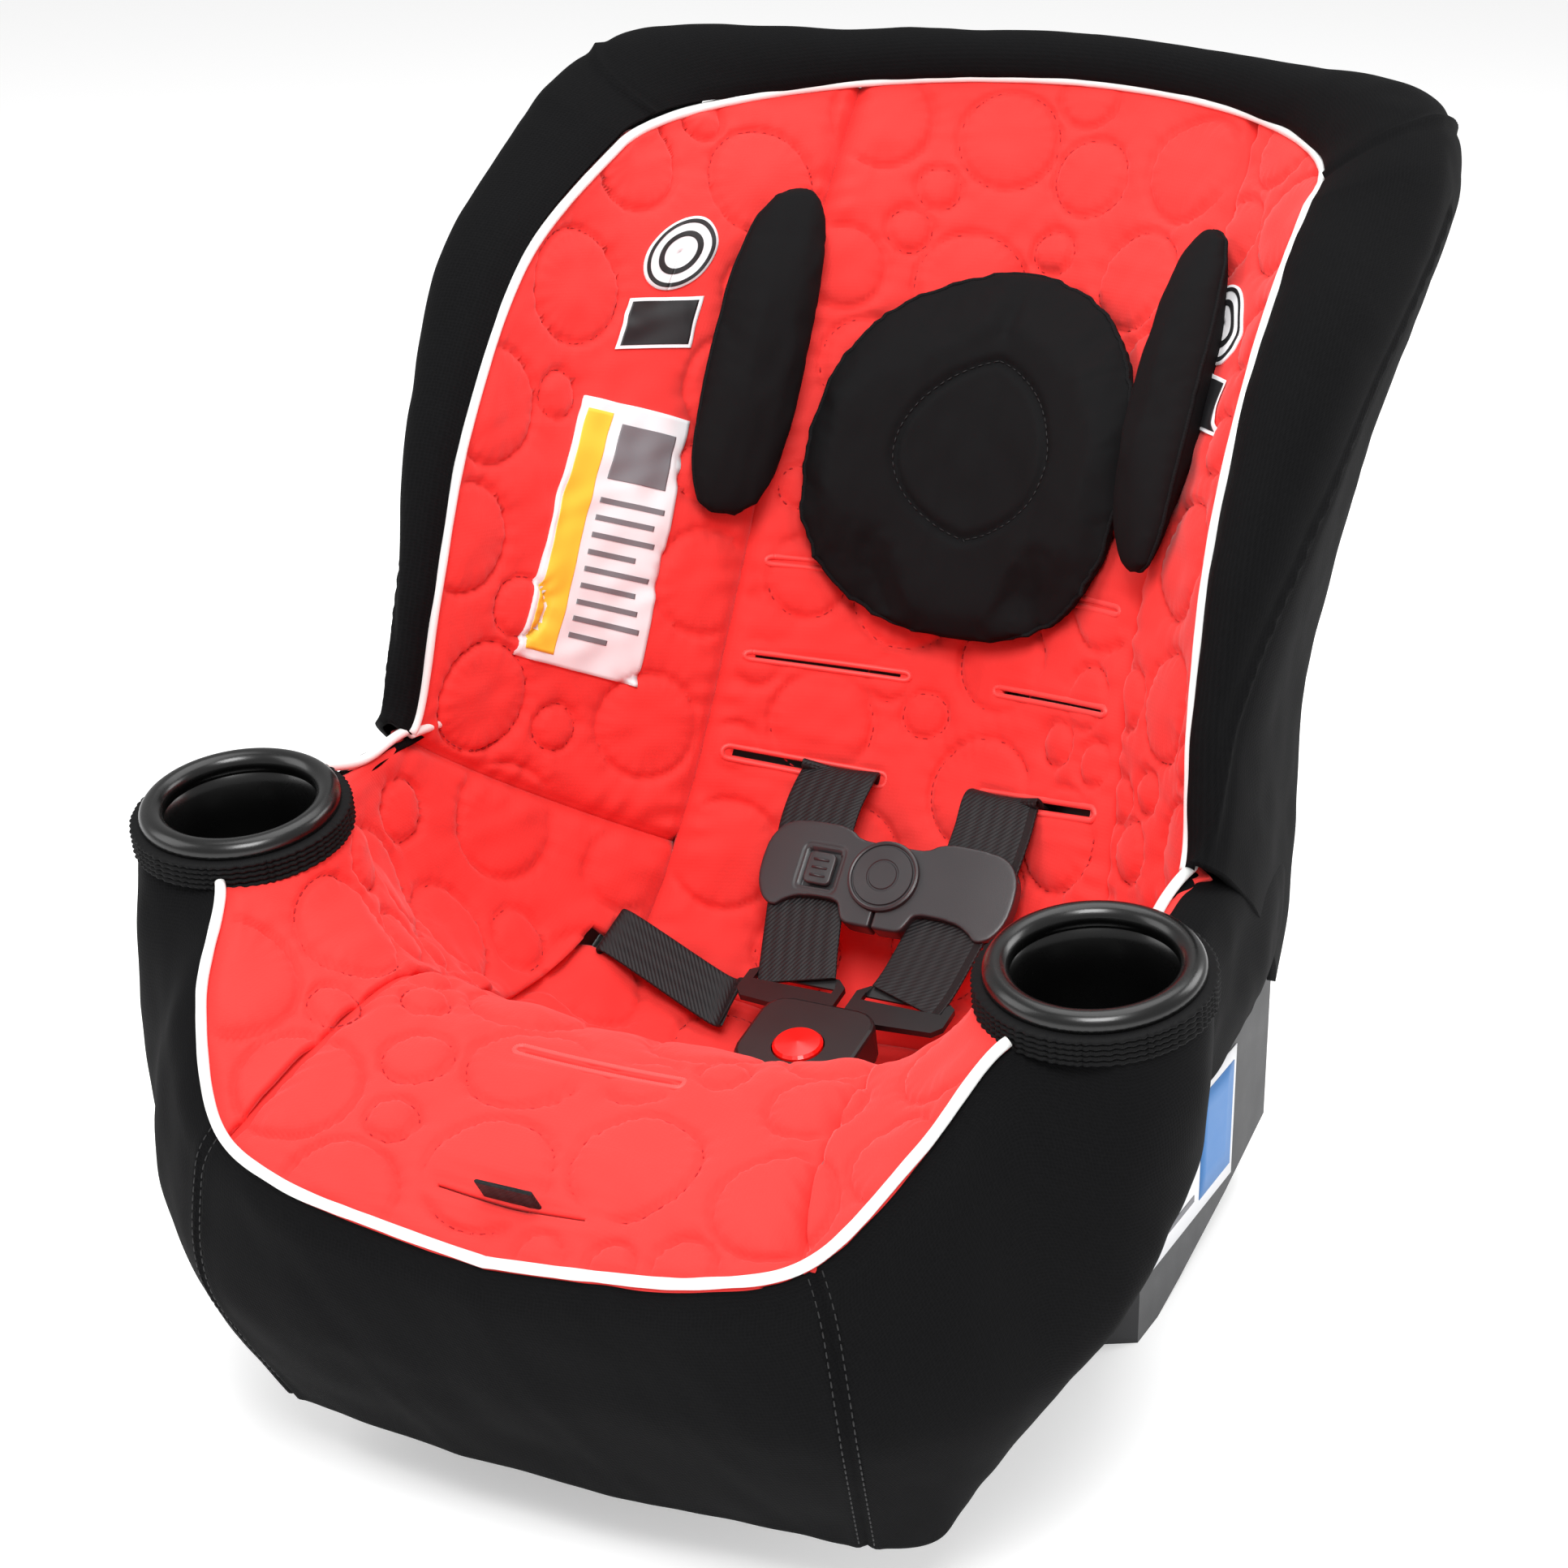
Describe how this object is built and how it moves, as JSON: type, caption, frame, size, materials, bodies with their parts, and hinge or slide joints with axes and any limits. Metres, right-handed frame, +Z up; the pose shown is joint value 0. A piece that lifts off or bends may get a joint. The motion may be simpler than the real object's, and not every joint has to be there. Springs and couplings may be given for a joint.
{
  "type": "convertible child car seat",
  "caption": "Child car seat with a quilted bucket, knitted outer cover, lift-out cup holders, harness with chest clip and buckle, on a two-position base.",
  "frame": {"origin": "middle of the base's level rest face, under the seat's plane of symmetry", "axes": "+X to the seat's right as seen from the front, -Y forward (the way the child faces), +Z up"},
  "size_m": [0.4768, 0.6415, 0.5407],
  "materials": {
    "liner": "quilted",
    "knit": "mesh knit",
    "piping": "satin",
    "elastic": "ribbed",
    "foam": "matt",
    "shell": "moulded",
    "base": "moulded",
    "gloss": "satin",
    "pillow": "mesh knit",
    "web": "woven",
    "clip": "satin",
    "buckle": "satin",
    "button": "gloss",
    "steel": "satin"
  },
  "bodies": {
    "frame": {"adjuster_housing": "steel", "adjuster_pin": "steel", "adjuster_spring": "steel", "base_screw_1": "steel", "base_screw_2": "steel", "base_screw_3": "steel", "base_screw_4": "steel", "base_tray": "base", "buckle_body": "buckle", "buckle_latch": "steel", "buckle_spring": "steel", "cover_top": "knit", "cover_wing_left": "knit", "cover_wing_right": "knit", "crotch_anchor": "steel", "cup_elastic_left": "elastic", "cup_elastic_right": "elastic", "cup_well_left": "shell", "cup_well_right": "shell", "hip_anchor_left": "steel", "hip_anchor_right": "steel", "liner_arm_left": "liner", "liner_arm_right": "liner", "liner_back": "liner", "liner_seat": "liner", "liner_wing_left": "liner", "liner_wing_right": "liner", "pillow_bolster_left": "pillow", "pillow_bolster_right": "pillow", "pillow_pad": "pillow", "piping_back": "piping", "piping_front": "piping", "seat_shell": "shell", "skirt_front": "knit", "skirt_left": "knit", "skirt_right": "knit", "splitter_plate": "steel", "web_adjuster": "web", "web_crotch": "web", "web_hip_left": "web", "web_hip_right": "web", "web_shoulder_left": "web", "web_shoulder_right": "web", "wing_foam_left": "foam", "wing_foam_right": "foam"},
    "cup_left": {"cup_holder_left": "gloss"},
    "cup_right": {"cup_holder_right": "gloss"},
    "buckle_button": {"buckle_button": "button"},
    "tongue_left": {"tongue_left": "steel"},
    "tongue_right": {"tongue_right": "steel"},
    "chest_clip": {"clip_half_right": "clip", "clip_disc": "clip"},
    "clip_left": {"clip_half_left": "clip"},
    "clip_button": {"clip_button": "clip"},
    "adjuster_lever": {"adjuster_lever": "steel"}
  },
  "joints": [
    {"name": "cup_left_lift", "type": "slide", "parent": "frame", "child": "cup_left", "axis": [0, -0.1736, 0.9848], "range_m": [0, 0.075]},
    {"name": "cup_right_lift", "type": "slide", "parent": "frame", "child": "cup_right", "axis": [0, -0.1736, 0.9848], "range_m": [0, 0.075]},
    {"name": "buckle_button_press", "type": "slide", "parent": "frame", "child": "buckle_button", "axis": [0, 0.243, -0.97], "range_m": [0, 0.0025], "stiffness_N_per_m": 900, "springref_m": -0.002, "deforming": ["buckle_spring"]},
    {"name": "tongue_left_release", "type": "slide", "parent": "frame", "child": "tongue_left", "axis": [0, 0.97, 0.243], "range_m": [0, 0.024], "deforming": ["web_shoulder_left", "web_hip_left"]},
    {"name": "tongue_right_release", "type": "slide", "parent": "frame", "child": "tongue_right", "axis": [0, 0.97, 0.243], "range_m": [0, 0.024], "deforming": ["web_shoulder_right", "web_hip_right"]},
    {"name": "chest_clip_slide", "type": "slide", "parent": "frame", "child": "chest_clip", "axis": [0, -0.6691, -0.7431], "range_m": [-0.008, 0.006], "deforming": ["web_shoulder_left", "web_shoulder_right"]},
    {"name": "clip_left_release", "type": "slide", "parent": "chest_clip", "child": "clip_left", "axis": [-1, 0, 0], "range_m": [0, 0.006], "deforming": ["web_shoulder_left"]},
    {"name": "clip_button_press", "type": "slide", "parent": "clip_left", "child": "clip_button", "axis": [0, 0.7431, -0.6691], "range_m": [0, 0.0008], "stiffness_N_per_m": 400, "springref_m": -0.002},
    {"name": "adjuster_lever_press", "type": "hinge", "parent": "frame", "child": "adjuster_lever", "pos_m": [0, -0.22172, 0.16223], "axis": [1, 0, 0], "range_deg": [0, 4], "stiffness_Nm_per_rad": 0.4, "springref_deg": -5.73}
  ]
}
